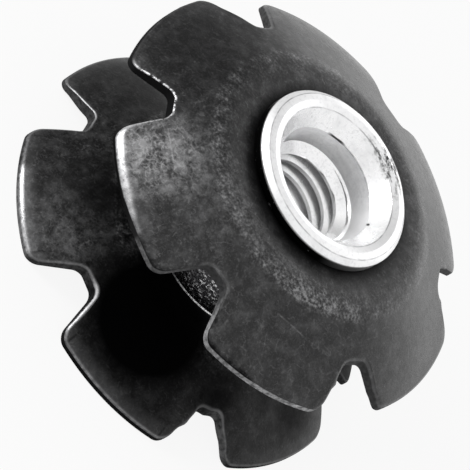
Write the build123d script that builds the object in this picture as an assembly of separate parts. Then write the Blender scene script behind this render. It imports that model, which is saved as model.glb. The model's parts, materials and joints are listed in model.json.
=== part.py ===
"""Headset star nut: two dished spring-steel stars swaged onto one threaded aluminium sleeve.

The nut stands on the fin tips of its lower star, with its axis on +Z and the flared mouth of the sleeve on top.
Lengths are in millimetres and angles in degrees.
"""
import os
from math import cos, hypot, radians, tan

from build123d import *

# Star washers, both stamped by the same tool
FIN_COUNT = 6
STAR_DIAMETER = 24.9
SHEET_THICKNESS = 0.6
DISH_DIAMETER = 14.8
DISH_ANGLE = 27.7
BEND_RADIUS = 2.0
NOTCH_DEPTH = 2.5
NOTCH_ROOT_WIDTH = 1.6
NOTCH_ANGLE = 63.0
NOTCH_ROOT_ROUND_SHARE = 0.43
FIN_CORNER_RADIUS = 0.85

# Places of the stars on the sleeve
STAR_SPACING = 8.33
UPPER_STAR_TURN = 8.9
LOWER_STAR_TURN = -9.9

# Sleeve bore, from the thread out to the spigot that fills the star's hole
THREAD_MINOR_DIAMETER = 5.0
THREAD_LEAD_WIDTH = 0.62
THREAD_LEAD_DEPTH = 0.54
COUNTERBORE_DRAFT = 0.25
COUNTERBORE_DEPTH = 1.28
SPIGOT_WALL = 0.93
SPIGOT_CLEARANCE = 0.03

# Sleeve barrel, whose shoulders hold the stars apart
SHOULDER_WIDTH = 1.1

# Flared lip of the sleeve over the upper star
LIP_REACH = 1.03
LIP_SEAT_WIDTH = 0.5
LIP_EDGE_RISE = 0.27
LIP_EDGE_HEIGHT = 0.4
LIP_SLOPE_WIDTH = 0.69
LIP_SLOPE_HEIGHT = 0.4
CREST_WIDTH = 0.16
MOUTH_CONE_HEIGHT = 1.15

# Rolled lip of the sleeve under the lower star
ROLL_REACH = 0.8
ROLL_HEIGHT = 0.9
ROLL_CHAMFER = 0.4
COUNTERSINK_WIDTH = 0.8
COUNTERSINK_DEPTH = 0.8

OVERRUN = 1.0

# Radii and heights that follow from the sizes above
STAR_RADIUS = STAR_DIAMETER / 2
DISH_RADIUS = DISH_DIAMETER / 2
DISH_DROP = (STAR_RADIUS - DISH_RADIUS) * tan(radians(DISH_ANGLE))
STAR_HEIGHT = DISH_DROP + SHEET_THICKNESS / cos(radians(DISH_ANGLE))
LOWER_HUB_TOP = STAR_HEIGHT
UPPER_HUB_TOP = LOWER_HUB_TOP + STAR_SPACING
THREAD_RADIUS = THREAD_MINOR_DIAMETER / 2
COUNTERBORE_FOOT = THREAD_RADIUS + THREAD_LEAD_WIDTH
COUNTERBORE_RADIUS = COUNTERBORE_FOOT + COUNTERBORE_DRAFT
SPIGOT_RADIUS = COUNTERBORE_RADIUS + SPIGOT_WALL
HOLE_RADIUS = SPIGOT_RADIUS + SPIGOT_CLEARANCE
BARREL_RADIUS = SPIGOT_RADIUS + SHOULDER_WIDTH
LIP_RADIUS = SPIGOT_RADIUS + LIP_REACH
CREST_RADIUS = LIP_RADIUS - LIP_SLOPE_WIDTH


def axis_distance(point):
    """Distance of a point from the nut's axis."""
    return hypot(point.X, point.Y)


def sheet_lines(depth):
    """Lines of the dished sheet at a depth below its top face: flat hub, soft bend, slope out past the fin tips."""
    half_angle = radians(DISH_ANGLE / 2)
    slope = Vector(1, 0).rotate(Axis.Z, -DISH_ANGLE)
    corner = Vector(DISH_RADIUS - depth * tan(half_angle), -depth)
    bend_length = (BEND_RADIUS + SHEET_THICKNESS - depth) * tan(half_angle)
    hub_end = corner - Vector(bend_length, 0)
    slope_start = corner + slope * bend_length
    slope_end = corner + slope * ((STAR_RADIUS + OVERRUN - corner.X) / slope.X)
    return [
        Line((HOLE_RADIUS, -depth), hub_end),
        Bezier(hub_end, corner, slope_start),
        Line(slope_start, slope_end),
    ]


def dished_sheet():
    """Full round of the dished sheet, with its top hub face at height zero."""
    top = sheet_lines(0)
    under = sheet_lines(SHEET_THICKNESS)
    hole_wall = Line(under[0] @ 0, top[0] @ 0)
    outer_wall = Line(top[-1] @ 1, under[-1] @ 1)
    section = make_face(Curve([hole_wall, *top, outer_wall, *under]))
    return revolve(Plane.XZ * section, Axis.Z)


def notch_outline():
    """V-shaped notch that opens along +X, before its corners are rounded."""
    root = STAR_RADIUS - NOTCH_DEPTH
    mouth = STAR_RADIUS + OVERRUN
    root_half = NOTCH_ROOT_WIDTH / 2
    mouth_half = root_half + (mouth - root) * tan(radians(NOTCH_ANGLE / 2))
    return make_face(
        Polyline(
            (root, -root_half),
            (mouth, -mouth_half),
            (mouth, mouth_half),
            (root, root_half),
            close=True,
        )
    )


def star_outline():
    """Plan of the star: a disc with a notch between each two fins, all corners rounded."""
    step = 360 / FIN_COUNT
    plan = Circle(STAR_RADIUS)
    for index in range(FIN_COUNT):
        plan -= Rot(0, 0, (index + 1 / 2) * step) * notch_outline()
    notch_middle = STAR_RADIUS - NOTCH_DEPTH / 2
    roots = [vertex for vertex in plan.vertices() if axis_distance(vertex) < notch_middle]
    plan = fillet(roots, NOTCH_ROOT_WIDTH * NOTCH_ROOT_ROUND_SHARE)
    tips = [vertex for vertex in plan.vertices() if axis_distance(vertex) > notch_middle]
    return fillet(tips, FIN_CORNER_RADIUS)


def star():
    """One star: the dished sheet cut to its plan."""
    blank = extrude(star_outline(), STAR_HEIGHT + OVERRUN, both=True)
    return dished_sheet() & blank


def sleeve_section():
    """Half section of the sleeve, drawn with distance from the axis along X and height along Y."""
    upper_shoulder = UPPER_HUB_TOP - SHEET_THICKNESS
    roll_seat = LOWER_HUB_TOP - SHEET_THICKNESS
    roll_foot = roll_seat - ROLL_HEIGHT
    roll_radius = SPIGOT_RADIUS + ROLL_REACH
    lip_edge_foot = UPPER_HUB_TOP + LIP_EDGE_RISE
    lip_edge_top = lip_edge_foot + LIP_EDGE_HEIGHT
    crest = lip_edge_top + LIP_SLOPE_HEIGHT
    counterbore_top = crest - MOUTH_CONE_HEIGHT
    counterbore_floor = counterbore_top - COUNTERBORE_DEPTH
    return make_face(
        Polyline(
            (THREAD_RADIUS, roll_foot + COUNTERSINK_DEPTH),
            (THREAD_RADIUS + COUNTERSINK_WIDTH, roll_foot),
            (roll_radius - ROLL_CHAMFER, roll_foot),
            (roll_radius, roll_foot + ROLL_CHAMFER),
            (roll_radius, roll_seat),
            (SPIGOT_RADIUS, roll_seat),
            (SPIGOT_RADIUS, LOWER_HUB_TOP),
            (BARREL_RADIUS, LOWER_HUB_TOP),
            (BARREL_RADIUS, upper_shoulder),
            (SPIGOT_RADIUS, upper_shoulder),
            (SPIGOT_RADIUS, UPPER_HUB_TOP),
            (SPIGOT_RADIUS + LIP_SEAT_WIDTH, UPPER_HUB_TOP),
            (LIP_RADIUS, lip_edge_foot),
            (LIP_RADIUS, lip_edge_top),
            (CREST_RADIUS + CREST_WIDTH / 2, crest),
            (CREST_RADIUS - CREST_WIDTH / 2, crest),
            (COUNTERBORE_RADIUS, counterbore_top),
            (COUNTERBORE_FOOT, counterbore_floor),
            (THREAD_RADIUS, counterbore_floor - THREAD_LEAD_DEPTH),
            close=True,
        )
    )


def threaded_sleeve():
    """The sleeve, turned from one piece and swaged at both ends. Its bore has the thread's minor diameter."""
    return revolve(Plane.XZ * sleeve_section(), Axis.Z)


washer = star()
pieces = {
    "upper_star": Pos(0, 0, UPPER_HUB_TOP) * Rot(0, 0, UPPER_STAR_TURN) * washer,
    "lower_star": Pos(0, 0, LOWER_HUB_TOP) * Rot(0, 0, LOWER_STAR_TURN) * washer,
    "threaded_sleeve": threaded_sleeve(),
}
os.makedirs("parts", exist_ok=True)
for name, piece in pieces.items():
    export_step(piece, f"parts/{name}.step")
    print(name, "volume", round(piece.volume, 1), "mm3")
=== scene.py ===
# %% [markdown]
# # A headset star nut
# This small nut is driven into the steerer tube of a bicycle fork. Two dished stars of black spring steel grip the
# tube, and a bright aluminium sleeve, swaged at both ends, holds them apart and carries the thread of the top bolt.
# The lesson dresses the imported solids: each piece is built again with rolled edges, a real thread and a real finish.

# %% Load the frame
import json
import math
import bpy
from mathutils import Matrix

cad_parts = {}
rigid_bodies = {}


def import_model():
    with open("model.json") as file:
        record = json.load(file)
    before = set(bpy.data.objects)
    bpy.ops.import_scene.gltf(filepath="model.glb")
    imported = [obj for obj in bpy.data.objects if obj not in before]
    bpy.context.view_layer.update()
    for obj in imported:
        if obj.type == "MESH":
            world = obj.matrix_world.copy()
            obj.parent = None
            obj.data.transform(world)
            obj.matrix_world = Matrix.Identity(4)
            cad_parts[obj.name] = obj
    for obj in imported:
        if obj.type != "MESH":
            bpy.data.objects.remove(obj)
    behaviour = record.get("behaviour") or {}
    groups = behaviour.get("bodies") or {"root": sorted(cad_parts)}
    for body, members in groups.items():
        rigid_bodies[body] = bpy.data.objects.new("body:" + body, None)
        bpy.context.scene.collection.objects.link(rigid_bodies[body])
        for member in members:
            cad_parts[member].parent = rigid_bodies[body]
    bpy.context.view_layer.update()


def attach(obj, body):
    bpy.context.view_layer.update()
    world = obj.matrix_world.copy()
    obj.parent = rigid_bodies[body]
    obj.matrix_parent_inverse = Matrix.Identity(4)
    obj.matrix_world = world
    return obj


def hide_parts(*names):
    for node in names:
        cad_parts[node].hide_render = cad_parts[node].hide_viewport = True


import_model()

from types import SimpleNamespace

import bmesh
import bpy
from mathutils import Matrix, Quaternion, Vector
from mathutils.noise import noise as noise_at

MM = 0.001

# %% [markdown]
# ## The camera
# The photograph looks down on the nut from a long way off, and the camera is rolled by sixty degrees, so the nut's
# axis points to the upper right. A camera can be placed by eye, but the outlines of both stars tell where it stood, so
# its eye, its aim and its roll come from fitting them to the picture. A long lens keeps the flat perspective.

# %% Camera
EYE = Vector((0.018, -211.369, 187.665)) * MM
LOOK_AT = Vector((0.019, -4.523, 7.969)) * MM
ROLL = math.radians(60.356)
SENSOR_WIDTH = 36.0
FOCAL_PIXELS = 5000.0
FRAME_PIXELS = 470.0
CLIP_START = 0.01
CLIP_END = 10.0
Z_AXIS = (0, 0, 1)


def add_object(name, data):
    """A new object in the scene that carries some data."""
    made = bpy.data.objects.new(name, data)
    bpy.context.scene.collection.objects.link(made)
    return made


def place_and_aim(holder, place, target, roll=0.0):
    """Puts a camera or a lamp at a place and turns it towards a target."""
    holder.location = place
    holder.rotation_mode = "QUATERNION"
    holder.rotation_quaternion = (target - place).to_track_quat("-Z", "Y") @ Quaternion(Z_AXIS, roll)


camera_data = bpy.data.cameras.new("photo_camera")
camera_data.sensor_width = SENSOR_WIDTH
camera_data.lens = SENSOR_WIDTH * FOCAL_PIXELS / FRAME_PIXELS
camera_data.clip_start = CLIP_START
camera_data.clip_end = CLIP_END
camera = add_object("photo_camera", camera_data)
place_and_aim(camera, EYE, LOOK_AT, ROLL)
bpy.context.scene.camera = camera
print("camera: lens mm", round(camera_data.lens, 1), "distance mm", round((LOOK_AT - EYE).length / MM, 1))

# %% [markdown]
# ## Sizes
# The pieces keep the sizes of the solids that they stand for. Each mesh is modelled in millimetres, where the
# operators have plenty of digits, and is brought to metres at the very end.

# %% Sizes shared with the solids
FIN_COUNT = 6
STAR_RADIUS = 12.45
SHEET = 0.6
DISH_RADIUS = 7.4
DISH_ANGLE = math.radians(27.7)
BEND_RADIUS = 2.0
NOTCH_DEPTH = 2.5
NOTCH_ROOT_WIDTH = 1.6
NOTCH_HALF_ANGLE = math.radians(31.5)
NOTCH_ROOT_RADIUS = 0.688
FIN_CORNER_RADIUS = 0.85
HOLE_RADIUS = 4.33
STAR_HEIGHT = (STAR_RADIUS - DISH_RADIUS) * math.tan(DISH_ANGLE) + SHEET / math.cos(DISH_ANGLE)
STAR_SPACING = 8.33
LOWER_HUB_TOP = STAR_HEIGHT
UPPER_HUB_TOP = LOWER_HUB_TOP + STAR_SPACING
UPPER_TURN = math.radians(8.9)
LOWER_TURN = math.radians(-9.9)
print("hub tops mm", round(LOWER_HUB_TOP, 3), round(UPPER_HUB_TOP, 3))

# %% [markdown]
# ## The outline of a star
# A star is stamped from strip: a disc with a V-shaped notch between each two fins. It could be cut from a disc with a
# boolean, but that leaves uneven edges. Here half of one notch is drawn as a short chain of edges, so that a vertex
# bevel can round its two corners evenly; the bevel's offset is the length of the tangent. The fin's rim is a vertex
# spun about the axis. A mirror and five turned copies then close the outline.

# %% Drawing with edges
MERGE = 0.0005
ORIGIN = (0, 0, 0)
FULL_TURN = 2 * math.pi


def chain(bm, points):
    """Vertices at some points, joined in a row by edges."""
    verts = [bm.verts.new(point) for point in points]
    for first, second in zip(verts, verts[1:]):
        bm.edges.new((first, second))


def vert_at(bm, point):
    """The vertex nearest to a point."""
    return min(bm.verts, key=lambda vert: (vert.co - Vector(point)).length)


def round_corner(bm, corner, radius, turn, segments):
    """Rounds the corner of a chain that turns by an angle there."""
    bmesh.ops.bevel(
        bm,
        geom=[vert_at(bm, corner)],
        offset=radius * math.tan(turn / 2),
        offset_type="OFFSET",
        segments=segments,
        profile=0.5,
        affect="VERTICES",
        material=-1,
    )


def spin(bm, geom, angle, steps, use_duplicate=False, **options):
    """Spins geometry about the nut's axis."""
    bmesh.ops.spin(
        bm, geom=geom, cent=ORIGIN, axis=Z_AXIS, angle=angle, steps=steps, use_duplicate=use_duplicate, **options
    )


def merge_doubles(bm):
    """Merges the vertices that lie at one place."""
    bmesh.ops.remove_doubles(bm, verts=bm.verts[:], dist=MERGE)


print("vertices within mm", MERGE, "are merged")

# %% Outline of a star
FIN_RIM_START = math.radians(3.2)
FIN_RIM_STEPS = 14
FLANK_CUTS = 11
CORNER_SEGMENTS = 7


def star_outline(bm):
    """The closed outline of a star, flat, with a notch on +X."""
    root = STAR_RADIUS - NOTCH_DEPTH
    flank = Vector((math.cos(NOTCH_HALF_ANGLE), math.sin(NOTCH_HALF_ANGLE), 0))
    root_corner = Vector((root, NOTCH_ROOT_WIDTH / 2, 0))
    along = root_corner.dot(flank)
    reach = math.sqrt(along ** 2 + STAR_RADIUS ** 2 - root_corner.length_squared) - along
    fin_corner = root_corner + flank * reach
    fin_corner_angle = math.atan2(fin_corner.y, fin_corner.x)
    rim_start = Matrix.Rotation(FIN_RIM_START, 3, "Z") @ fin_corner
    fin_turn = fin_corner_angle + math.pi / 2 - NOTCH_HALF_ANGLE
    chain(bm, [(root, 0, 0), root_corner, fin_corner, rim_start])
    round_corner(bm, fin_corner, FIN_CORNER_RADIUS, fin_turn, CORNER_SEGMENTS)
    round_corner(bm, root_corner, NOTCH_ROOT_RADIUS, math.pi / 2 - NOTCH_HALF_ANGLE, CORNER_SEGMENTS)
    longest = max(bm.edges, key=lambda edge: edge.calc_length())
    bmesh.ops.subdivide_edges(bm, edges=[longest], cuts=FLANK_CUTS)
    rim_angle = math.pi / FIN_COUNT - fin_corner_angle - FIN_RIM_START
    spin(bm, [vert_at(bm, rim_start)], rim_angle, FIN_RIM_STEPS)
    bmesh.ops.mirror(bm, geom=bm.verts[:] + bm.edges[:], axis="Y", merge_dist=MERGE)
    copies = FIN_COUNT - 1
    spin(bm, bm.verts[:] + bm.edges[:], FULL_TURN * copies / FIN_COUNT, copies, use_duplicate=True)
    merge_doubles(bm)


trial = bmesh.new()
star_outline(trial)
print("outline:", len(trial.verts), "vertices", len(trial.edges), "edges")
trial.free()

# %% [markdown]
# ## The flat sheet of a star
# The blank is a flat sheet with a hole. One big face can't be bent, so the outline is extruded inwards ring by ring,
# with close rings where the bend will be, and the sheet gets its thickness only then. The real fins look thinner at
# the rim than along the notches, so the top face sinks over the last two millimetres before the rim.

# %% Flat sheet of a star
FIN_RING = 8.6
FIN_CUTS = 4
BEND_STEPS = 8
HUB_RINGS = (6.3, 5.7, 5.2, 4.8, HOLE_RADIUS)
THIN_START = 10.4
UPPER_RIM_SHEET = 0.38
LOWER_RIM_SHEET = 0.3
HALF_DISH = math.tan(DISH_ANGLE / 2)
BEND_TOP = (BEND_RADIUS + SHEET) * HALF_DISH
BEND_INSIDE = DISH_RADIUS - BEND_TOP
BEND_OUTSIDE = DISH_RADIUS + BEND_TOP * math.cos(DISH_ANGLE)


def held(share):
    """A share, held between zero and one."""
    return min(1.0, max(0.0, share))


def top_level(radius, rim_sheet):
    """Level of the flat sheet's top face at a radius; the fins get thinner towards the rim."""
    share = held((radius - THIN_START) / (STAR_RADIUS - THIN_START))
    return -(SHEET - rim_sheet) * share ** 2


def ring_inwards(bm, edges, radius):
    """Extrudes a ring of edges inwards onto a circle, and returns the new ring and the spokes to it."""
    made = bmesh.ops.extrude_edge_only(bm, edges=edges)["geom"]
    verts = {item for item in made if isinstance(item, bmesh.types.BMVert)}
    for vert in verts:
        vert.co = vert.co.normalized() * radius
    ring = [edge for edge in bm.edges if edge.verts[0] in verts and edge.verts[1] in verts]
    spokes = [edge for edge in bm.edges if (edge.verts[0] in verts) != (edge.verts[1] in verts)]
    return ring, spokes


def flat_star(bm, rim_sheet):
    """The flat, stamped sheet of a star, with the top of its hub at zero."""
    star_outline(bm)
    ring, spokes = ring_inwards(bm, bm.edges[:], FIN_RING)
    bmesh.ops.subdivide_edges(bm, edges=spokes, cuts=FIN_CUTS, use_grid_fill=True)
    bend_width = BEND_OUTSIDE - BEND_INSIDE
    bend_rings = [BEND_OUTSIDE - bend_width * step / BEND_STEPS for step in range(BEND_STEPS + 1)]
    for radius in (*bend_rings, *HUB_RINGS):
        ring, _ = ring_inwards(bm, ring, radius)
    bmesh.ops.recalc_face_normals(bm, faces=bm.faces[:])
    bmesh.ops.solidify(bm, geom=bm.faces[:], thickness=SHEET)
    top = max(vert.co.z for vert in bm.verts)
    bmesh.ops.translate(bm, vec=(0, 0, -top), verts=bm.verts[:])
    for vert in bm.verts:
        if vert.co.z > -SHEET / 2:
            vert.co.z = top_level(vert.co.xy.length, rim_sheet)
    bmesh.ops.recalc_face_normals(bm, faces=bm.faces[:])


trial = bmesh.new()
flat_star(trial, UPPER_RIM_SHEET)
print("flat star:", len(trial.faces), "faces, bend from", round(BEND_INSIDE, 2), "to", round(BEND_OUTSIDE, 2), "mm")
trial.free()

# %% [markdown]
# ## The rolled and worn edge
# A stamping die rolls the upper edge of the sheet over and leaves the lower one sharp. An even bevel alone would look
# machined, because the real roll is wider on some stretches than on others. So the bevel's vertices are moved towards
# the outline again, by the width of the roll at their place. An attribute keeps the wear of the roll and of the wall
# below it for the finish: above zero the black is worn to steel, and on some stretches this steel is a painted
# highlight; below zero the black is painted deeper, as shade.

# %% Stretches of the edge
ROLL_BLEND = 3.5
USUAL_WEAR = 0.15
USUAL_WALL_WEAR = 0.1

# Each stretch: its middle and half width in degrees round the flat star, the width of its roll as a share of the full
# roll, the wear of the roll and the wear of the wall. High wear where the edge faces the softbox is partly a painted
# highlight, and wear below zero is painted shade.
UPPER_USUAL_ROLL = 0.5
UPPER_STRETCHES = (
    (180, 9.5, 0.3, 1.0, -0.6),
    (-159, 9, 1.0, 1.0, -0.7),
    (-147, 1, 0.7, 0.85, -0.5),
    (-142, 1, 0.5, 0.4, -0.2),
    (-134, 4.5, 0.5, -0.5, 0.3),
    (150, 17, 0.3, 0.0, 0.0),
    (-102, 9, 0.5, -0.8, 0.8),
    (-82, 9, 0.35, 0.0, 0.95),
)
LOWER_USUAL_ROLL = 0.35
# The lower star's stretches, whose wear also holds painted highlight and painted shade.
LOWER_STRETCHES = (
    (-145, 11, 0.45, 1.0, 0.35),
    (-164, 5, 0.35, 0.3, 0.1),
    (-125, 4, 0.4, 0.3, 0.15),
    (-114.5, 3.5, 0.5, 1.0, 0.05),
    (-90, 17, 0.3, 0.5, -0.3),
    (-30, 17, 0.3, 0.2, -0.5),
    (-53.5, 3, 0.3, 0.3, 0.35),
    (175, 4.5, 0.22, 0.6, 0.12),
)


def roll_wear_and_light(place, usual_roll, stretches):
    """Share of the full roll at a place, and the wear of the roll and of the wall below it, partly painted light."""
    values = Vector((usual_roll, USUAL_WEAR, USUAL_WALL_WEAR))
    for middle, half_width, *stretch_values in stretches:
        angle = math.radians(middle)
        away = math.degrees(Vector((math.cos(angle), math.sin(angle))).angle(place))
        values = values.lerp(Vector(stretch_values), held((half_width + ROLL_BLEND - away) / ROLL_BLEND))
    return values


print("worn stretches:", len(UPPER_STRETCHES), "on the upper star,", len(LOWER_STRETCHES), "on the lower star")

# %% Rolled edge of a star
EDGE_ROLL = 0.28
ROLL_WIDENING = 1.5
ROLL_SEGMENTS = 5
WEAR_START = 0.2
WALL_START = 0.95
UPRIGHT = 0.5
TEAR = 0.06
TEAR_PITCH = 3.0


def is_wall(face):
    """True for a face of the stamped wall."""
    return abs(face.normal.z) < UPRIGHT


def is_outer(vert):
    """True for a vertex of the fins, away from the hole."""
    return vert.co.xy.length > FIN_RING + SHEET


def is_upper_rim(edge):
    """True for an edge of the sheet's upper outline."""
    high = all(vert.co.z > -SHEET + MERGE and is_outer(vert) for vert in edge.verts)
    return high and sum(is_wall(face) for face in edge.link_faces) == 1


def outline_point(outline, place):
    """The point of the outline nearest to a place, both seen from above."""
    best = None
    for first, second in outline:
        side = second - first
        point = first + side * held((place - first).dot(side) / side.length_squared)
        if best is None or (point - place).length_squared < (best - place).length_squared:
            best = point
    return best


def roll_edge(bm, rim_sheet, usual_roll, stretches):
    """Rolls the upper outline over and marks its wear and painted light; returns the count of its edges."""
    wear = bm.verts.layers.float.new("edge_wear_and_light")
    rim = [edge for edge in bm.edges if is_upper_rim(edge)]
    outline = [(edge.verts[0].co.xy.copy(), edge.verts[1].co.xy.copy()) for edge in rim]
    made = bmesh.ops.bevel(
        bm,
        geom=rim,
        offset=EDGE_ROLL,
        offset_type="OFFSET",
        segments=ROLL_SEGMENTS,
        profile=0.5,
        affect="EDGES",
        clamp_overlap=False,
        material=-1,
    )
    for vert in made["verts"]:
        share, roll_tone, wall_tone = roll_wear_and_light(vert.co.xy, usual_roll, stretches)
        top = top_level(vert.co.xy.length, rim_sheet)
        depth = (top - vert.co.z) / EDGE_ROLL
        vert[wear] = roll_tone * min(1.0, depth / WEAR_START) if depth < WALL_START else wall_tone
        edge_point = outline_point(outline, vert.co.xy)
        torn = TEAR * noise_at(vert.co * TEAR_PITCH) * max(0.0, usual_roll - share)
        inwards = (vert.co.xy - edge_point) * share * ROLL_WIDENING
        place = edge_point + inwards + vert.co.xy.normalized() * torn
        vert.co = (place.x, place.y, top + (vert.co.z - top) * share)
    for vert in bm.verts:
        low = vert.co.z < -SHEET + MERGE
        if low and is_outer(vert) and any(is_wall(face) for face in vert.link_faces):
            vert[wear] = roll_wear_and_light(vert.co.xy, usual_roll, stretches)[2]
    return len(rim)


print("widest roll mm", round(EDGE_ROLL * ROLL_WIDENING, 2))

# %% [markdown]
# ## The dish
# A press dishes the flat star round its hub. A bend modifier bends along one line only, so each vertex is moved down
# instead, by the height of the bent sheet at its distance from the axis and for its own depth in the sheet.

# %% Dish of a star
def sheet_height(radius, depth):
    """Height of the dished sheet at a radius, for a depth below its top face; the hub's top is at zero."""
    corner = DISH_RADIUS - depth * HALF_DISH
    bend = (BEND_RADIUS + SHEET - depth) * HALF_DISH
    slope_start = corner + bend * math.cos(DISH_ANGLE)
    if radius >= slope_start:
        return -depth - (radius - corner) * math.tan(DISH_ANGLE)
    share = max(0.0, (radius - corner + bend) / (slope_start - corner + bend))
    return -depth - share ** 2 * bend * math.sin(DISH_ANGLE)


def dish(bm):
    """Dishes the flat sheet."""
    for vert in bm.verts:
        vert.co.z = sheet_height(math.hypot(vert.co.x, vert.co.y), -vert.co.z)


print("the fins drop by mm", round(-sheet_height(STAR_RADIUS, 0), 2))

# %% [markdown]
# ## The two stars
# One die and one press make both stars, so one function does here; only height, turn and wear differ. A worn die
# leaves spurs and dents, other ones at each notch. A sculpted mesh could have them too, but would not come out the
# same twice. So they are pulled out of the finished star: the vertices near a place follow a short move, and the
# nearest follow it most.

# %% Stars
STAR_SHARP = math.radians(40)

# Each spur or dent: its place, its reach and its move.
UPPER_SPURS = (
    ((7.6, 7.2, 9.95), 0.5, (0.3, 0.1, 0.05)),
    ((9.0, 5.85, 9.9), 0.35, (-0.05, 0.2, 0.0)),
    ((9.75, -5.3, 9.6), 0.35, (0.1, 0.12, -0.05)),
    ((11.9, -2.8, 9.0), 0.8, (-0.1, 0.25, 0.08)),
    ((-9.85, 2.0, 10.2), 1.8, (-0.03, 0.45, -0.08)),
)
LOWER_SPURS = (
    ((7.67, -8.16, 1.1), 0.4, (0.18, 0.05, -0.05)),
    ((8.87, -6.67, 1.1), 0.4, (-0.05, -0.18, -0.05)),
    ((7.75, -6.6, 1.5), 1.3, (0.26, -0.24, -0.15)),
    ((8.75, -6.4, 1.4), 1.2, (-0.12, -0.27, -0.04)),
    ((7.3, -7.9, 1.4), 1.1, (0.15, 0.16, -0.01)),
    ((-10.2, -3.0, 0.9), 1.5, (0.05, -0.14, -0.1)),
)


def pull(bm, place, reach, move):
    """Pulls the vertices near a place along, which leaves a small spur or dent."""
    for vert in bm.verts:
        share = 1 - (vert.co - Vector(place)).length / reach
        if share > 0:
            vert.co += Vector(move) * share


def open_edge_count(bm):
    """Count of the edges that don't have a face on both sides."""
    return sum(not edge.is_manifold for edge in bm.edges)


def new_piece(bm, name, sharp_angle):
    """An object in metres from a mesh in millimetres, smooth but for edges sharper than an angle."""
    bmesh.ops.scale(bm, vec=(MM, MM, MM), verts=bm.verts[:])
    for face in bm.faces:
        face.smooth = True
    mesh = bpy.data.meshes.new(name)
    bm.to_mesh(mesh)
    bm.free()
    mesh.set_sharp_from_angle(angle=sharp_angle)
    return add_object(name, mesh)


def star_piece(name, turn, hub_top, rim_sheet, usual_roll, stretches, spurs):
    """One finished star in its place."""
    bm = bmesh.new()
    flat_star(bm, rim_sheet)
    rolled = roll_edge(bm, rim_sheet, usual_roll, stretches)
    dish(bm)
    to_place = Matrix.Rotation(turn + math.pi / FIN_COUNT, 3, "Z")
    bmesh.ops.rotate(bm, cent=ORIGIN, matrix=to_place, verts=bm.verts[:])
    bmesh.ops.translate(bm, vec=(0, 0, hub_top), verts=bm.verts[:])
    for place, reach, move in spurs:
        pull(bm, place, reach, move)
    print(name, "rolled edges", rolled, "faces", len(bm.faces), "open edges", open_edge_count(bm))
    return new_piece(bm, name, STAR_SHARP)


upper_star = star_piece(
    "upper_star_sheet", UPPER_TURN, UPPER_HUB_TOP, UPPER_RIM_SHEET, UPPER_USUAL_ROLL, UPPER_STRETCHES, UPPER_SPURS
)
lower_star = star_piece(
    "lower_star_sheet", LOWER_TURN, LOWER_HUB_TOP, LOWER_RIM_SHEET, LOWER_USUAL_ROLL, LOWER_STRETCHES, LOWER_SPURS
)

# %% [markdown]
# ## The body of the sleeve
# The sleeve is turned, so its body is half a section spun about the axis; a stack of cylinders would need many joins.
# The corners that swaging leaves soft are rounded in the section first: the crest of the flared lip, the edge of its
# land, its upright wall, and the roll under the lower star. The section runs from just above the thread, over the
# mouth and down the outside, to the countersink at the foot.

# %% Body of the sleeve
THREAD_MINOR = 2.5
COUNTERBORE_FOOT = 3.12
COUNTERBORE_TOP = 3.37
SPIGOT = 4.3
BARREL = 5.4
ROLL_RADIUS = 5.1
COUNTERBORE_TOP_DEPTH = 0.08
FLOOR_DEPTH = 1.36
FLOOR_Z = UPPER_HUB_TOP - FLOOR_DEPTH
ROLL_HEIGHT = 0.9
ROLL_SEAT_Z = LOWER_HUB_TOP - SHEET
FOOT_Z = ROLL_SEAT_Z - ROLL_HEIGHT
BEAD = 0.05
BEAD_TOP = 0.07
BEAD_SLOPE_TOP = 0.12
BEAD_ROUND = 0.02
SHOULDER_ROUND = 0.12
ROLL_TOP_ROUND = 0.1
ROLL_ROUND = 0.4
COUNTERSINK = 0.8
JOIN = 0.06
SECTION_SEGMENTS = 5
TURN_STEPS = 144

# Corners of the mouth and the flared lip: radius, height above the upper star's hub, and rounding.
LIP_CORNERS = (
    (COUNTERBORE_TOP, -COUNTERBORE_TOP_DEPTH, 0.05),
    (4.13, 0.9, 0.04),
    (4.55, 1.04, 0.1),
    (4.95, 0.98, 0.1),
    (5.26, 0.68, 0.08),
    (5.26, 0.06, 0.04),
    (4.8, 0.0, 0),
)


def sleeve_section(bm):
    """Half section of the sleeve's body as a chain of edges, with its corners rounded."""
    wall_draft = (COUNTERBORE_TOP - COUNTERBORE_FOOT) / (FLOOR_DEPTH - COUNTERBORE_TOP_DEPTH)
    corners = [
        (COUNTERBORE_FOOT + JOIN * wall_draft, FLOOR_Z + JOIN, 0),
        *((radius, UPPER_HUB_TOP + rise, rounding) for radius, rise, rounding in LIP_CORNERS),
        (SPIGOT, UPPER_HUB_TOP, 0),
        (SPIGOT, UPPER_HUB_TOP - SHEET, 0),
        (BARREL, UPPER_HUB_TOP - SHEET, SHOULDER_ROUND),
        (BARREL, LOWER_HUB_TOP + BEAD_SLOPE_TOP, BEAD_ROUND),
        (BARREL + BEAD, LOWER_HUB_TOP + BEAD_TOP, BEAD_ROUND),
        (BARREL + BEAD, LOWER_HUB_TOP, 0),
        (SPIGOT, LOWER_HUB_TOP, 0),
        (SPIGOT, ROLL_SEAT_Z, 0),
        (ROLL_RADIUS, ROLL_SEAT_Z, ROLL_TOP_ROUND),
        (ROLL_RADIUS, FOOT_Z, ROLL_ROUND),
        (THREAD_MINOR + COUNTERSINK + JOIN, FOOT_Z, 0),
    ]
    points = [Vector((radius, 0, height)) for radius, height, _ in corners]
    chain(bm, points)
    for before, point, after, (_, _, rounding) in zip(points, points[1:], points[2:], corners[1:]):
        if rounding:
            round_corner(bm, point, rounding, (point - before).angle(after - point), SECTION_SEGMENTS)


sleeve = bmesh.new()
sleeve_section(sleeve)
spin(sleeve, sleeve.verts[:] + sleeve.edges[:], FULL_TURN, TURN_STEPS, use_merge=True)
merge_doubles(sleeve)
print("sleeve body:", len(sleeve.faces), "faces")

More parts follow.
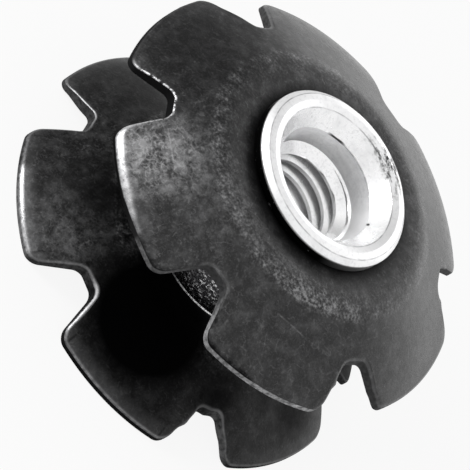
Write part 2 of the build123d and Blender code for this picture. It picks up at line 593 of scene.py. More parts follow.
# %% [markdown]
# ## The thread
# A thread can be faked by a bump, but this one shows in the mouth, so it is real: one pitch of its profile is spun
# about the axis while each step climbs a little, which makes a right-handed helix. Neighbouring turns are merged. The
# cone that leads into the thread and the countersink at the foot are cut by pushing every vertex that lies inside a
# cone out onto it. Two flat cuts trim the ends, where the cones have already swallowed the grooves.

# %% Thread
THREAD_MAJOR = 3.0
PITCH = 1.0
CREST_FLAT = 0.25
ROOT_FLAT = 0.125
FLANK_RISE = (PITCH - CREST_FLAT - ROOT_FLAT) / 2
PROFILE_CUTS = 2
THREAD_STEPS = 72
SPARE_TURNS = 1.5
START_Z = FOOT_Z - SPARE_TURNS * PITCH
TURNS = math.ceil((FLOOR_Z - FOOT_Z) / PITCH + 2 * SPARE_TURNS)
LEAD_WIDTH = COUNTERBORE_FOOT - THREAD_MINOR
LEAD_DEPTH = 0.54


def cone_radius(height):
    """Radius of the two cones that open the thread's ends."""
    lead = THREAD_MINOR + (height - FLOOR_Z + LEAD_DEPTH) * LEAD_WIDTH / LEAD_DEPTH
    countersink = THREAD_MINOR + FOOT_Z + COUNTERSINK - height
    return max(lead, countersink)


thread = bmesh.new()
profile = (
    (THREAD_MINOR, 0),
    (THREAD_MINOR, CREST_FLAT),
    (THREAD_MAJOR, CREST_FLAT + FLANK_RISE),
    (THREAD_MAJOR, CREST_FLAT + FLANK_RISE + ROOT_FLAT),
    (THREAD_MINOR, PITCH),
)
chain(thread, [(radius, 0, START_Z + rise) for radius, rise in profile])
bmesh.ops.subdivide_edges(thread, edges=thread.edges[:], cuts=PROFILE_CUTS)
climb = (0, 0, PITCH / THREAD_STEPS)
spin(thread, thread.verts[:] + thread.edges[:], FULL_TURN * TURNS, THREAD_STEPS * TURNS, dvec=climb)
merge_doubles(thread)
for vert in thread.verts:
    distance = math.hypot(vert.co.x, vert.co.y)
    stretch = max(distance, cone_radius(vert.co.z)) / distance
    vert.co.x *= stretch
    vert.co.y *= stretch
for height, side in ((FLOOR_Z, 1), (FOOT_Z, -1)):
    bmesh.ops.bisect_plane(
        thread,
        geom=thread.verts[:] + thread.edges[:] + thread.faces[:],
        plane_co=(0, 0, height),
        plane_no=(0, 0, side),
        clear_outer=True,
    )
merge_doubles(thread)
print("thread:", len(thread.faces), "faces, turns", TURNS)

# %% [markdown]
# ## The whole sleeve
# On the real nut the thread is cut in the sleeve itself. The two meshes could stay side by side, but then light would
# leak between them. The trimmed ends of the thread are plain circles, so a bridge joins each to the body's open edge.

# %% Thread joined to the sleeve
JOIN_REACH = 1.5 * JOIN
SLEEVE_SHARP = math.radians(25)


def boundary(bm, height):
    """Open edges of a mesh near a height."""
    return [e for e in bm.edges if e.is_boundary and all(abs(v.co.z - height) < JOIN_REACH for v in e.verts)]


thread_mesh = bpy.data.meshes.new("thread_wall")
thread.to_mesh(thread_mesh)
thread.free()
sleeve.from_mesh(thread_mesh)
bpy.data.meshes.remove(thread_mesh)
for height in (FLOOR_Z, FOOT_Z):
    bmesh.ops.bridge_loops(sleeve, edges=boundary(sleeve, height))
bmesh.ops.recalc_face_normals(sleeve, faces=sleeve.faces[:])
print("sleeve with thread:", len(sleeve.faces), "faces, open edges", open_edge_count(sleeve))
sleeve_piece = new_piece(sleeve, "swaged_sleeve", SLEEVE_SHARP)

# %% [markdown]
# ## Seating on the frame
# Swaging holds the three pieces together for good, so each new piece rides on the only body. It stands for its solid,
# which stays in the simulation.

# %% Seat the pieces
for piece, node, slot in (
    (upper_star, "upper_star", "black_steel"),
    (lower_star, "lower_star", "black_steel"),
    (sleeve_piece, "threaded_sleeve", "bright_aluminium"),
):
    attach(piece, "root")
    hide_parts(node)
    print(piece.name, "stands for", node)

# %% [markdown]
# ## Nodes for the finishes
# Both finishes are read from the object's own coordinates, in metres, so they stay on the pieces from every side. A
# painted picture would blur close up; noise and masks stay sharp. A mask is a number between zero and one. These short
# functions make the nodes for numbers, vectors and colours.

# %% Nodes for numbers
def fill(tree, socket, value):
    """Sets an input of a node, or links the output of another node to it."""
    if isinstance(value, bpy.types.NodeSocket):
        tree.links.new(value, socket)
    else:
        socket.default_value = value


def node_of(tree, kind, **values):
    """A new node, with some of its inputs filled by name."""
    node = tree.nodes.new(kind)
    for name, value in values.items():
        fill(tree, node.inputs[name.replace("_", " ")], value)
    return node


def noise(place, scale, detail, roughness):
    """Noise at a place, with a scale in grains per metre."""
    values = {"Scale": scale, "Detail": detail, "Roughness": roughness}
    return node_of(place.id_data, "ShaderNodeTexNoise", Vector=place, **values).outputs["Fac"]


def remap(value, low, high, to_low=0.0, to_high=1.0):
    """A value carried from one range to another and held there."""
    ranges = {"From_Min": low, "From_Max": high, "To_Min": to_low, "To_Max": to_high}
    return node_of(value.id_data, "ShaderNodeMapRange", Value=value, **ranges).outputs["Result"]


def combine(operation, *values, clamp=False):
    """One number from several, each an output of a node or a plain number."""
    tree = next(value.id_data for value in values if isinstance(value, bpy.types.NodeSocket))
    result = values[0]
    for value in values[1:]:
        node = tree.nodes.new("ShaderNodeMath")
        node.operation = operation
        node.use_clamp = clamp
        fill(tree, node.inputs[0], result)
        fill(tree, node.inputs[1], value)
        result = node.outputs["Value"]
    return result


def times(*values, clamp=False):
    """Product of some numbers."""
    return combine("MULTIPLY", *values, clamp=clamp)


def plus(*values, clamp=False):
    """Sum of some numbers."""
    return combine("ADD", *values, clamp=clamp)


def most(*values):
    """Largest of some numbers."""
    return combine("MAXIMUM", *values)


def without(share):
    """What a share leaves of one."""
    return combine("SUBTRACT", 1.0, share)


def unsigned(value):
    """A number without its sign."""
    return combine("ABSOLUTE", value, 0.0)


print("nodes for numbers are ready")

# %% Nodes for vectors and colours
MIX_COLOUR_INPUTS = (0, 6, 7)
MIX_COLOUR_OUTPUT = 2


def vector_number(operation, first, second=ORIGIN):
    """The number that a vector, or two of them, give."""
    node = first.id_data.nodes.new("ShaderNodeVectorMath")
    node.operation = operation
    fill(first.id_data, node.inputs[0], first)
    fill(first.id_data, node.inputs[1], second)
    return node.outputs["Value"]


def parts_of(vector):
    """The three numbers of a vector."""
    return node_of(vector.id_data, "ShaderNodeSeparateXYZ", Vector=vector).outputs[:]


def vector_of(x, y, z):
    """A vector from three numbers, the first of them an output of a node."""
    return node_of(x.id_data, "ShaderNodeCombineXYZ", X=x, Y=y, Z=z).outputs["Vector"]


def blend_colour(share, first, second):
    """A colour between two; the first may be an output of a node."""
    node = share.id_data.nodes.new("ShaderNodeMix")
    node.data_type = "RGBA"
    for index, value in zip(MIX_COLOUR_INPUTS, (share, first, second)):
        fill(share.id_data, node.inputs[index], value)
    return node.outputs[MIX_COLOUR_OUTPUT]


print("nodes for vectors and colours are ready")

# %% [markdown]
# ## Masks by place
# Wear sits at places: near a point, in a ring, on a line. Each such place could be painted by hand, but a mask that is
# worked out from coordinates needs no map and keeps its size. All lengths here are in millimetres.

# %% Masks by place
SCRATCH_FADE = 0.4


def by_length(value, low, high, *shares):
    """A length carried from a range in millimetres to a share."""
    return remap(value, low * MM, high * MM, *shares)


def near(place, centre, inner, outer):
    """One close to a point and zero away from it."""
    return by_length(vector_number("DISTANCE", place, Vector(centre) * MM), outer, inner)


def band(value, low, high, soft):
    """One between two lengths and zero outside, with soft ends."""
    return times(by_length(value, low - soft, low), by_length(value, high + soft, high))


def scratch(place, start, end, width):
    """One on a thin line between two points seen from above, and zero beside it."""
    start, end = Vector((*start, 0)), Vector((*end, 0))
    along = (end - start).normalized()
    across = Vector((-along.y, along.x, 0))
    middle = start.dot(across)
    on_line = band(vector_number("DOT_PRODUCT", place, across), middle - width / 2, middle + width / 2, width / 2)
    reach = vector_number("DOT_PRODUCT", place, along)
    return times(on_line, band(reach, start.dot(along), end.dot(along), SCRATCH_FADE))


def axis_and_height(place):
    """Distance from the nut's axis, and height."""
    x, y, height = parts_of(place)
    return vector_number("LENGTH", vector_of(x, y, 0.0)), height


def around_axis(place, radius):
    """Way round the axis on a circle, to stretch a noise along the turning."""
    x, y, _ = parts_of(place)
    return times(combine("ARCTAN2", y, x), radius * MM)


print("masks by place are ready")

# %% Material of a piece
def new_material(name):
    """A material with a principled shader; returns it with its shader, object coordinates and normal."""
    material = bpy.data.materials.new(name)
    material.use_nodes = True
    source = material.node_tree.nodes.new("ShaderNodeTexCoord")
    return material, material.node_tree.nodes["Principled BSDF"], source.outputs["Object"], source.outputs["Normal"]


def dress(shader, tone, metallic, roughness, relief, relief_strength, relief_depth):
    """Links the parts of a finish to its shader."""
    tree = tone.id_data
    depth = relief_depth * MM
    bump = node_of(tree, "ShaderNodeBump", Height=relief, Strength=relief_strength, Distance=depth)
    for name, value in (
        ("Base Color", tone),
        ("Metallic", metallic),
        ("Roughness", roughness),
        ("Normal", bump.outputs["Normal"]),
    ):
        fill(tree, shader.inputs[name], value)


print("materials are read from object coordinates")

# %% [markdown]
# ## Rubbed black oxide
# The stars have a thin black finish that handling has rubbed grey: in fine hairs and mottle all over, in a speckled
# ring along the bend, in clouded patches on some fins, and along a few scratches. One even grey noise would look like
# paint, so each kind of rubbing is a mask of its own, and their sum blends the black towards grey.

# %% Noises and places of the black oxide
# Noises: grains per metre, detail and roughness.
CLOUD = (700.0, 4.0, 0.6)
MOTTLE = (2400.0, 4.0, 0.65)
GRAIN = (8000.0, 2.0, 0.6)
FINE = (4200.0, 3.0, 0.6)
BLOTCH = (1400.0, 5.0, 0.7)
BETWEEN_STARS = (5.0, 6.0)
LEVEL = (0.15, 0.5)


def oxide_skin(place, normal):
    """The noises and the places that all wear of a star is read from."""
    radius, height = axis_and_height(place)
    upwards = parts_of(normal)[2]
    return SimpleNamespace(
        place=place,
        radius=radius,
        on_upper=by_length(height, *BETWEEN_STARS),
        upwards=upwards,
        level=remap(unsigned(upwards), *LEVEL),
        cloud=noise(place, *CLOUD),
        mottle=noise(place, *MOTTLE),
        grain=noise(place, *GRAIN),
        fine=noise(place, *FINE),
        blotch=noise(place, *BLOTCH),
    )


print("finest grain mm", 1 / GRAIN[0] / MM)

# %% Rubbing of the black oxide
HAIR = (1100.0, 2.0, 0.5)
CURL = (2700.0, 1.5, 0.5)
SPECKLE = (5600.0, 2.0, 0.6)

# Ranges: from one value of a noise to another, and the shares that they stand for.
MOTTLED = (0.4, 0.68)
MOTTLED_BY_CLOUD = (0.35, 0.7, 0.05, 0.22)
GRAINY = (0.5, 0.75, 0.0, 0.12)
HAIRY = (0.46, 0.6, 0.0, 0.2)
CURLED = (0.35, 0.65, 0.0, 1.6)
BEND_BY_CLOUD = (0.35, 0.65, 0.1, 0.4)
BEND_BY_BLOTCH = (0.35, 0.65, 0.5, 1.3)
SPECKLED = (0.3, 0.75)
PATCH_BY_BLOTCH = (0.4, 0.62, 0.1, 0.8)
SCRATCH_BY_FINE = (0.35, 0.6, 0.2, 1.2)

NOISE_MIDDLE = 0.5
HAIR_WIDTH = 0.025
CURL_WIDTH = 0.1
SHARPER = 2.0
SPECKLE_GAIN = 1.7
SECTOR_GAIN = 0.6
CURL_GAIN = 0.6
BEND_INNER = (6.4, 7.7)
BEND_OUTER = (8.2, 7.9)
BEND_SECTOR = ((5.2, -5.4, 11.6), 1.0, 4.0)

# Each patch: its centre, its inner and outer reach, and its amount.
PATCHES = (
    ((-6.0, -8.9, 9.9), 0.8, 3.4, 0.85),
    ((-4.6, -9.7, 1.6), 0.8, 3.4, 0.3),
    ((-1.5, -8.0, 11.2), 0.5, 3.0, 0.12),
)

# Each scratch: its two ends seen from above, its width, and its amount.
SCRATCHES = (
    ((-6.7, -7.62), (-5.15, -8.57), 0.05, 0.4),
    ((5.19, -7.62), (6.59, -6.78), 0.05, 0.22),
    ((6.96, -6.55), (7.99, -5.59), 0.05, 0.08),
    ((5.7, -8.9), (6.5, -9.4), 0.04, 0.12),
)


def thin_lines(value, width):
    """One on the lines where a noise crosses its middle, and zero beside them."""
    return remap(unsigned(combine("SUBTRACT", value, NOISE_MIDDLE)), 0.0, width, 1.0, 0.0)


def rubbed_all_over(skin):
    """Mottle, grain and fine hairs."""
    mottled = times(remap(skin.blotch, *MOTTLED), remap(skin.cloud, *MOTTLED_BY_CLOUD))
    hairs = times(thin_lines(noise(skin.place, *HAIR), HAIR_WIDTH), remap(skin.fine, *HAIRY))
    return plus(mottled, remap(skin.grain, *GRAINY), hairs)


def rubbed_bend(skin):
    """A speckled ring along the bend, stronger in one sector."""
    ring = times(by_length(skin.radius, *BEND_INNER), by_length(skin.radius, *BEND_OUTER))
    sector = times(near(skin.place, *BEND_SECTOR), SECTOR_GAIN)
    amount = plus(remap(skin.cloud, *BEND_BY_CLOUD), sector)
    speckle = combine("POWER", remap(noise(skin.place, *SPECKLE), *SPECKLED), SHARPER)
    return times(ring, amount, speckle, SPECKLE_GAIN, remap(skin.blotch, *BEND_BY_BLOTCH))


def rubbed_spots(skin):
    """Clouded patches and thin scratches."""
    curls = combine("POWER", thin_lines(noise(skin.place, *CURL), CURL_WIDTH), SHARPER)
    curls = times(curls, remap(skin.fine, *CURLED), CURL_GAIN)
    clouded = plus(remap(skin.blotch, *PATCH_BY_BLOTCH), curls)
    uneven = times(remap(skin.fine, *SCRATCH_BY_FINE), skin.on_upper)
    patches = [times(near(skin.place, *spot), amount, clouded) for *spot, amount in PATCHES]
    scratches = [times(scratch(skin.place, *line), amount, uneven) for *line, amount in SCRATCHES]
    return plus(*patches, *scratches)


print("rubbing:", len(PATCHES), "patches,", len(SCRATCHES), "scratches")

# %% [markdown]
# ## Painted shade and bare steel
# Under the lip, between the stars and at some fins the black is painted shade: it stays matt and reflects nearly
# nothing, for the shadows and dark reflections there. On the rolled edges the black is gone, and flecked steel shows.
# Both could be painted on the vertices, but a vertex every half millimetre is too coarse for flecks, so the edge
# attribute only says where, and noise breaks it up.

# %% Painted shade and worn edges
LIP_SHADE = (6.5, 5.3, 0.0, 0.9)
FACES_DOWN = (-0.5, -0.2)
WORN_BY_MOTTLE = (0.35, 0.65, 0.5, 0.9)
FLECKED = (0.35, 0.6, 0.35, 1.1)
TORN_NOTCH = (-8.3, -5.9, 10.2)
TORN_REACH = (1.2, 2.8)
TORN_BY_GRAIN = (0.45, 0.6)
BROKEN_REACH = (2.0, 3.0)
BROKEN_BY_FINE = (0.52, 0.44)

# Each spot of painted shade, for shadows and dark reflections: its centre, its inner and outer reach, and its amount.
PAINTED_SHADE_SPOTS = (
    ((1.8, -8.0, 2.6), 3.0, 5.6, 1.0),
    ((9.95, 5.7, 1.2), 1.5, 3.5, 1.0),
    ((-10.4, -1.6, 10.1), 2.0, 9.0, 0.6),
    ((9.6, -3.6, 1.6), 2.0, 4.5, 0.12),
    ((10.2, -0.6, 1.9), 0.8, 3.4, 0.75),
    ((8.8, -2.6, 2.4), 0.4, 1.8, 0.6),
    ((7.2, -6.0, 2.3), 0.8, 3.0, 0.8),
    ((5.3, -9.9, 1.3), 1.0, 3.2, 0.6),
    ((-10.4, 0.5, 1.7), 1.5, 4.5, 0.45),
    ((-5.4, -6.3, 2.9), 0.8, 3.2, 0.75),
)


def painted_shade(skin):
    """Painted shade: matt black under the lip and at the shaded spots."""
    under_lip = times(by_length(skin.radius, *LIP_SHADE), skin.on_upper)
    return most(under_lip, *(times(near(skin.place, *spot), amount) for *spot, amount in PAINTED_SHADE_SPOTS))


def edge_wear_and_light(skin):
    """Wear and painted light of the edges from the pieces' own attribute, but none on faces that look down."""
    source = skin.place.id_data.nodes.new("ShaderNodeAttribute")
    source.attribute_name = "edge_wear_and_light"
    return times(source.outputs["Fac"], remap(skin.upwards, *FACES_DOWN))


def steel_and_highlight(skin, edge):
    """Bare steel on the worn edges, partly a painted highlight, flecked on the walls and torn at one notch."""
    torn = times(near(skin.place, TORN_NOTCH, *TORN_REACH), remap(skin.grain, *TORN_BY_GRAIN))
    amount = plus(remap(skin.mottle, *WORN_BY_MOTTLE), torn, clamp=True)
    flecked = most(skin.level, remap(skin.fine, *FLECKED))
    broken = times(near(skin.place, TORN_NOTCH, *BROKEN_REACH), remap(skin.fine, *BROKEN_BY_FINE))
    return times(most(edge, 0.0), amount, flecked, without(broken))


print("sheltered places:", len(PAINTED_SHADE_SPOTS))

# %% [markdown]
# ## Black oxide
# The finish of a star is nearly black in itself, with a soft gloss that brightens where the sheet turns away from the
# eye. Rubbing blends it to grey and worn edges blend it to steel. Where shade is painted it becomes a black metal,
# because a metal this dark has no white gloss, while a plain black surface would keep one. The lower star is a shaded
# copy of the upper one's finish: painted deeper black, with less gloss and less rubbing.

# %% Black oxide
BLACK = (0.0035, 0.0035, 0.0038, 1)
# The lower star's black, painted darker than the upper star's as shade.
SHADED_BLACK = (0.0015, 0.0015, 0.0016, 1)
RUBBED = (0.34, 0.34, 0.345, 1)
BARE_STEEL = (0.6, 0.6, 0.61, 1)
OXIDE_ROUGHNESS = (0.3, 0.7, 0.17, 0.3)
RUBBED_ROUGHER = 0.2
WALL_ROUGHER = (0.0, 1.0, 0.6, 0.0)
SHADE_ROUGHER = 0.5
GRAIN_RELIEF = 0.4
OXIDE_RELIEF = (0.35, 0.03)


def black_oxide(name, black, specular, rubbing):
    """Finish of a star, more or less rubbed."""
    material, shader, place, normal = new_material(name)
    shader.inputs["Specular IOR Level"].default_value = specular
    skin = oxide_skin(place, normal)
    # Painted shade: black metal under the lip, at the shaded spots and on edges marked below zero.
    shade_black = painted_shade(skin)
    rub = plus(rubbed_all_over(skin), rubbed_bend(skin), rubbed_spots(skin))
    rub = times(times(rub, rubbing, clamp=True), skin.level, without(shade_black))
    edge = edge_wear_and_light(skin)
    # Edge values below zero join the painted shade.
    shade_black = most(shade_black, times(edge, -1.0))
    worn = steel_and_highlight(skin, edge)
    tone = blend_colour(worn, blend_colour(rub, black, RUBBED), BARE_STEEL)
    roughness = plus(
        remap(skin.mottle, *OXIDE_ROUGHNESS),
        times(rub, RUBBED_ROUGHER),
        remap(skin.level, *WALL_ROUGHER),
        times(shade_black, SHADE_ROUGHER),
    )
    relief = plus(times(skin.grain, GRAIN_RELIEF), skin.mottle)
    dress(shader, tone, most(worn, shade_black), roughness, relief, *OXIDE_RELIEF)
    return material


# The lower star gets painted shade: a darker black, less gloss and less rubbing than the upper star.
for piece, name, black, specular, rubbing in (
    (upper_star, "rubbed_black_oxide", BLACK, 0.37, 1.0),
    (lower_star, "shaded_black_oxide", SHADED_BLACK, 0.2, 0.6),
):
    piece.data.materials.append(black_oxide(name, black, specular, rubbing))
    print("finish:", name, "on", piece.name)

# %% [markdown]
# ## Marks on the sleeve
# Bare aluminium shows every mark. Black scuffs cross one side of the mouth, with a pit and a nick below them, and dirt
# sits in the creases of the lip and in a seam of the counterbore. The barrel is painted dark on the side that shows, as
# painted shade where the stars shadow it, and the lip's upright wall is painted black on one side, as the painted dark
# reflection of the star next to it. A single dirt noise would spread all of these evenly, so each mark is a mask at its
# own place. Marks from turning are read from a noise that is stretched round the axis.

# %% Noises and places of the marks
# Noises: grains per metre, detail and roughness.
RINGS = (6000.0, 2.0, 0.5)
SMUDGE = (900.0, 5.0, 0.65)
SPECK = (5200.0, 3.0, 0.6)
STREAK = (4200.0, 4.0, 0.65)
STREAK_RADIUS = 1.2

# Places: centre, inner and outer reach.
SCUFF_PLACE = ((0.9, 4.1, 12.45), 0.6, 2.3)
PIT_PLACE = ((3.17, 1.38, 11.66), 0.06, 0.14)
SEAM_PLACE = ((-0.3, 3.36, 11.58), 1.2, 2.2)
SPARKLE_PLACE = ((1.9, -5.0, 4.4), 0.6, 2.2)
BEAD_PLACE = ((2.9, -4.6, 3.4), 0.6, 2.6)
# Centre of the painted shade on the barrel's seen side.
BARREL_SHADE_PLACE = ((0.5, -5.3, 5.0), 3.2, 6.0)
# Centre of the painted shade on the lip's upright wall.
SKIRT_PLACE = ((-1.5, -5.0, 12.0), 5.0, 8.0)
NICK = ((-2.07, 2.63), (-1.58, 2.97), 0.07)

# Bands of radius and of height: from, to and softness.
SCUFF_RING = (4.15, 4.75, 0.25)
NICK_HEIGHTS = (11.51, 11.63, 0.02)
INNER_CREASE = (4.13, 4.16, 0.03)
OUTER_CREASE = (4.94, 4.97, 0.03)
CREASE_HEIGHTS = (12.2, 12.8, 0.1)
SEAM_RING = (3.36, 3.39, 0.02)
SEAM_HEIGHTS = (11.54, 11.6, 0.03)
BARREL_HEIGHTS = (3.3, 10.9, 0.1)
BEAD_HEIGHTS = (3.3, 3.48, 0.02)
SKIRT_HEIGHTS = (11.6, 12.2, 0.08)
BARREL_SKIN = (5.36, 5.39)
SKIRT_SKIN = (5.2, 5.25)


def turned_skin(place):
    """The noises and the places that all marks of the sleeve are read from."""
    radius, height = axis_and_height(place)
    return SimpleNamespace(
        place=place,
        radius=radius,
        height=height,
        rings=noise(vector_of(radius, 0.0, height), *RINGS),
        smudge=noise(place, *SMUDGE),
        speck=noise(place, *SPECK),
        streak=noise(vector_of(radius, around_axis(place, STREAK_RADIUS), height), *STREAK),
        barrel=times(by_length(radius, *BARREL_SKIN), band(height, *BARREL_HEIGHTS)),
    )


print("turning rings mm", round(1 / RINGS[0] / MM, 2))

# %% Marks on the sleeve
# Ranges: from one value to another, and the shares that they stand for.
SCUFF_BY_STREAK = (0.47, 0.55)
SCUFF_BY_SPECK = (0.4, 0.55, 0.3, 1.0)
CREASE_BY_STREAK = (0.35, 0.6, 0.1, 0.8)
SPARKLE_BY_SPECK = (0.52, 0.6)
MOSTLY_ONE_SIDE = (0.0, 1.0, 0.3, 1.0)
SKIRT_BY_SPECK = (0.66, 0.72, 1.0, 0.3)


def scuffs_and_pits(skin):
    """Black scuffs on the lip, and a pit and a nick in the counterbore."""
    scuff = times(near(skin.place, *SCUFF_PLACE), band(skin.radius, *SCUFF_RING))
    scuff = times(scuff, remap(skin.streak, *SCUFF_BY_STREAK), remap(skin.speck, *SCUFF_BY_SPECK))
    nick = times(scratch(skin.place, *NICK), band(skin.height, *NICK_HEIGHTS))
    return most(scuff, near(skin.place, *PIT_PLACE), nick)


def crease_dirt(skin):
    """Thin dirt in the creases of the lip and in the seam of the counterbore."""
    creases = most(band(skin.radius, *INNER_CREASE), band(skin.radius, *OUTER_CREASE))
    creases = times(creases, band(skin.height, *CREASE_HEIGHTS))
    seam = times(band(skin.radius, *SEAM_RING), band(skin.height, *SEAM_HEIGHTS), near(skin.place, *SEAM_PLACE))
    return times(most(creases, seam), remap(skin.streak, *CREASE_BY_STREAK))


def barrel_painted_shade(skin):
    """Painted shade on the barrel, mostly on one side, left off specks where light comes through a notch and off its
    bead.
    """
    sparkle = times(near(skin.place, *SPARKLE_PLACE), remap(skin.speck, *SPARKLE_BY_SPECK))
    bead = times(near(skin.place, *BEAD_PLACE), band(skin.height, *BEAD_HEIGHTS))
    side = remap(near(skin.place, *BARREL_SHADE_PLACE), *MOSTLY_ONE_SIDE)
    return times(skin.barrel, without(most(sparkle, bead)), side)


def skirt_painted_shade(skin):
    """Painted shade on the lip's upright wall: black, mostly on one side, with a few bright specks."""
    wall = times(by_length(skin.radius, *SKIRT_SKIN), band(skin.height, *SKIRT_HEIGHTS))
    side = remap(near(skin.place, *SKIRT_PLACE), *MOSTLY_ONE_SIDE)
    return times(wall, side, remap(skin.speck, *SKIRT_BY_SPECK))


print("marks on the sleeve are ready")

# %% [markdown]
# ## Bright aluminium
# The sleeve is bare metal. Fine rings from the turning tool run round the axis, so their noise is read from the
# distance to the axis and the height only. One mixed colour would look flat, so the tone is built up layer on layer,
# mostly as on the real nut: soft smudges and specks, streaks in the counterbore, one brighter spot that is painted
# light on the side of the bore that the softbox lights, residue in the thread, the painted shade on the barrel and on
# the lip's wall, and then the marks. The mouth is a little more matt than the rest, and the barrel is rougher, so it
# sparkles.

# %% Bright aluminium
METAL = (0.9, 0.9, 0.905, 1)
SMUDGED = (0.62, 0.62, 0.63, 1)
# A brighter tone, painted light on the side of the bore that the softbox lights.
BORE_LIGHT = (0.985, 0.985, 0.988, 1)
# This dark grey is the residue in the thread and also the painted shade on the barrel.
RESIDUE_AND_SHADE = (0.07, 0.07, 0.073, 1)
CREASE_DIRT = (0.3, 0.3, 0.31, 1)
# The black of the painted shade on the lip's upright wall.
SKIRT_SHADE = (0.004, 0.004, 0.0042, 1)
SCUFFED = (0.02, 0.02, 0.021, 1)
SMUDGE_SHARE = (0.5, 0.7, 0.0, 0.35)
SPECK_SHARE = (0.52, 0.75, 0.0, 0.5)
STREAK_SHARE = (0.4, 0.65, 0.0, 0.35)
COUNTERBORE_HEIGHTS = (10.35, 11.5, 0.1)
# Centre and reach of the painted light in the bore.
BORE_LIGHT_PLACE = ((3.0, 0.3, 10.6), 1.9, 2.9)
THREAD_ROOTS = (2.85, 3.06, 0.1)
THREAD_HEIGHTS = (2.6, 9.6, 0.1)
RESIDUE_SHARE = 0.12
MATT_LIP_RADII = (4.1, 4.2, 0.15, 1.0)
MATT_LIP_HEIGHTS = (11.55, 11.65)
MATT_MOUTH_HEIGHTS = (10.32, 11.55, 0.03)
METAL_ROUGHNESS = (0.3, 0.7, 0.2, 0.28)
MOUTH_ROUGHER = 0.2
DARK_ROUGHER = 0.3
RING_RELIEF = 0.15
BARREL_RELIEF = 4.0
METAL_RELIEF = (0.5, 0.02)


def bright_aluminium(name):
    """Finish of the sleeve."""
    material, shader, place, _ = new_material(name)
    skin = turned_skin(place)
    streaks = times(band(skin.height, *COUNTERBORE_HEIGHTS), remap(skin.streak, *STREAK_SHARE))
    residue = times(band(skin.radius, *THREAD_ROOTS), band(skin.height, *THREAD_HEIGHTS), RESIDUE_SHARE)
    dark = scuffs_and_pits(skin)
    tone = METAL
    # Three layers are painted light and shade: the bright spot in the bore, the barrel's shade and the lip wall's
    # black.
    for share, colour in (
        (remap(skin.smudge, *SMUDGE_SHARE), SMUDGED),
        (remap(skin.speck, *SPECK_SHARE), SMUDGED),
        (streaks, SMUDGED),
        (near(place, *BORE_LIGHT_PLACE), BORE_LIGHT),
        (crease_dirt(skin), CREASE_DIRT),
        (residue, RESIDUE_AND_SHADE),
        (barrel_painted_shade(skin), RESIDUE_AND_SHADE),
        (skirt_painted_shade(skin), SKIRT_SHADE),
        (dark, SCUFFED),
    ):
        tone = blend_colour(share, tone, colour)
    lip = times(by_length(skin.radius, *MATT_LIP_RADII), by_length(skin.height, *MATT_LIP_HEIGHTS))
    mouth = most(lip, band(skin.height, *MATT_MOUTH_HEIGHTS))
    roughness = plus(remap(skin.smudge, *METAL_ROUGHNESS), times(mouth, MOUTH_ROUGHER), times(dark, DARK_ROUGHER))
    relief = plus(times(skin.rings, RING_RELIEF), times(skin.speck, skin.barrel, BARREL_RELIEF))
    dress(shader, tone, without(dark), roughness, relief, *METAL_RELIEF)
    return material


sleeve_piece.data.materials.append(bright_aluminium("turned_aluminium"))
print("finish:", sleeve_piece.data.materials[0].name, "on", sleeve_piece.name)

# %% [markdown]
# ## The floor
# The nut stands on plain white paper. A lit floor alone would turn grey towards the edges, so rays from the camera and
# mirror-like rays see it as nearly white, and all other rays get its plain colour, so the finishes keep their own. In
# the gloss the part of the floor on the picture's left is dark, so that the walls of the fins above it stay black.

# %% Floor
WHITE = (1, 1, 1, 1)
PAPER = (0.92, 0.92, 0.92, 1)
FLOOR_RADIUS = 1.2
FLOOR_SEGMENTS = 96
FLOOR_LIFT = 0.9
FRONT_GLOSS = 0.12
FRONT_X = (3, -3)
FRONT_Y = (4, -4)


def white_rays(tree):
    """One for rays from the camera, from gloss and through glass, and zero for the rest; and one for gloss alone."""
    path = tree.nodes.new("ShaderNodeLightPath")
    gloss = path.outputs["Is Glossy Ray"]
    seen = plus(path.outputs["Is Camera Ray"], gloss, path.outputs["Is Transmission Ray"], clamp=True)
    return seen, gloss


floor_mesh = bmesh.new()
bmesh.ops.create_circle(floor_mesh, cap_ends=True, radius=FLOOR_RADIUS, segments=FLOOR_SEGMENTS)
floor_data = bpy.data.meshes.new("floor")
floor_mesh.to_mesh(floor_data)
floor_mesh.free()
floor = add_object("floor", floor_data)

paper = bpy.data.materials.new("white_paper")
paper.use_nodes = True
paper_tree = paper.node_tree
paper_tree.nodes.clear()
seen_white, seen_gloss = white_rays(paper_tree)
floor_x, floor_y, _ = parts_of(paper_tree.nodes.new("ShaderNodeTexCoord").outputs["Object"])
front = times(by_length(floor_x, *FRONT_X), by_length(floor_y, *FRONT_Y), seen_gloss)
matt = node_of(paper_tree, "ShaderNodeBsdfDiffuse", Color=PAPER)
lift = node_of(paper_tree, "ShaderNodeEmission", Color=WHITE, Strength=remap(front, 0, 1, 1.0, FRONT_GLOSS))
blend = node_of(paper_tree, "ShaderNodeMixShader", Fac=times(seen_white, FLOOR_LIFT))
fill(paper_tree, blend.inputs[1], matt.outputs["BSDF"])
fill(paper_tree, blend.inputs[2], lift.outputs["Emission"])
node_of(paper_tree, "ShaderNodeOutputMaterial", Surface=blend.outputs["Shader"])
floor_data.materials.append(paper)
print("floor radius m", FLOOR_RADIUS)

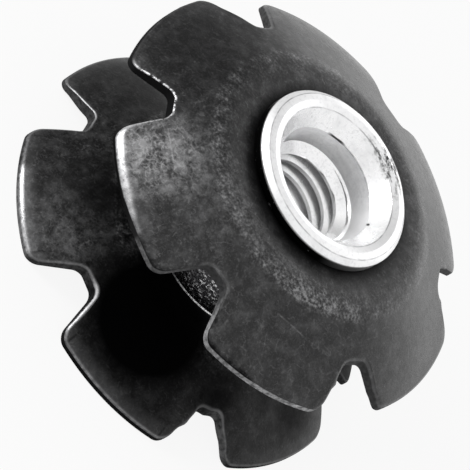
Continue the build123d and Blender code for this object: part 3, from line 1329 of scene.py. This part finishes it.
# %% [markdown]
# ## The light
# The photograph was taken in soft studio light. Many lamps could make it, but each would leave a highlight on the
# gloss, so most of the light comes from a white world. In the gloss two sides of the studio are darker and one is
# brighter, as in a real room. One low softbox on the left draws the fins' edges.

# %% Light
AMBIENT = 0.5
KEY_DIRECTION = (-70, 17)
KEY_DISTANCE = 170
KEY_WIDTH = 46
KEY_HEIGHT = 112
KEY_POWER = 0.22

# Each side of the studio: azimuth and elevation, inner and outer reach in degrees, and the change of its light.
STUDIO_SIDES = (
    (-142, 32, 14, 38, -0.55),
    (10, -8, 18, 38, -0.8),
    (168, 4, 14, 44, 1.0),
)


def direction_of(azimuth, elevation):
    """Unit vector for an azimuth from the camera's side round to +X, and an elevation, both in degrees."""
    azimuth, elevation = math.radians(azimuth), math.radians(elevation)
    level = math.cos(elevation)
    return Vector((level * math.sin(azimuth), -level * math.cos(azimuth), math.sin(elevation)))


world = bpy.data.worlds.new("studio")
bpy.context.scene.world = world
world.use_nodes = True
world_tree = world.node_tree
background = world_tree.nodes["Background"]
background.inputs["Color"].default_value = WHITE
seen_white, seen_gloss = white_rays(world_tree)
strength = remap(seen_white, 0, 1, AMBIENT, 1.0)
world_place = world_tree.nodes.new("ShaderNodeTexCoord").outputs["Generated"]
for azimuth, elevation, inner, outer, change in STUDIO_SIDES:
    facing = vector_number("DOT_PRODUCT", world_place, direction_of(azimuth, elevation))
    side = remap(facing, math.cos(math.radians(outer)), math.cos(math.radians(inner)), 0, change)
    strength = plus(strength, times(side, seen_gloss))
fill(world_tree, background.inputs["Strength"], strength)

key = bpy.data.lights.new("key_softbox", "AREA")
key.shape = "RECTANGLE"
key.size = KEY_WIDTH * MM
key.size_y = KEY_HEIGHT * MM
key.energy = KEY_POWER
nut_middle = Vector((0, 0, UPPER_HUB_TOP / 2)) * MM
place_and_aim(add_object("key_softbox", key), direction_of(*KEY_DIRECTION) * KEY_DISTANCE * MM, nut_middle)
bpy.context.scene.view_settings.view_transform = "Standard"
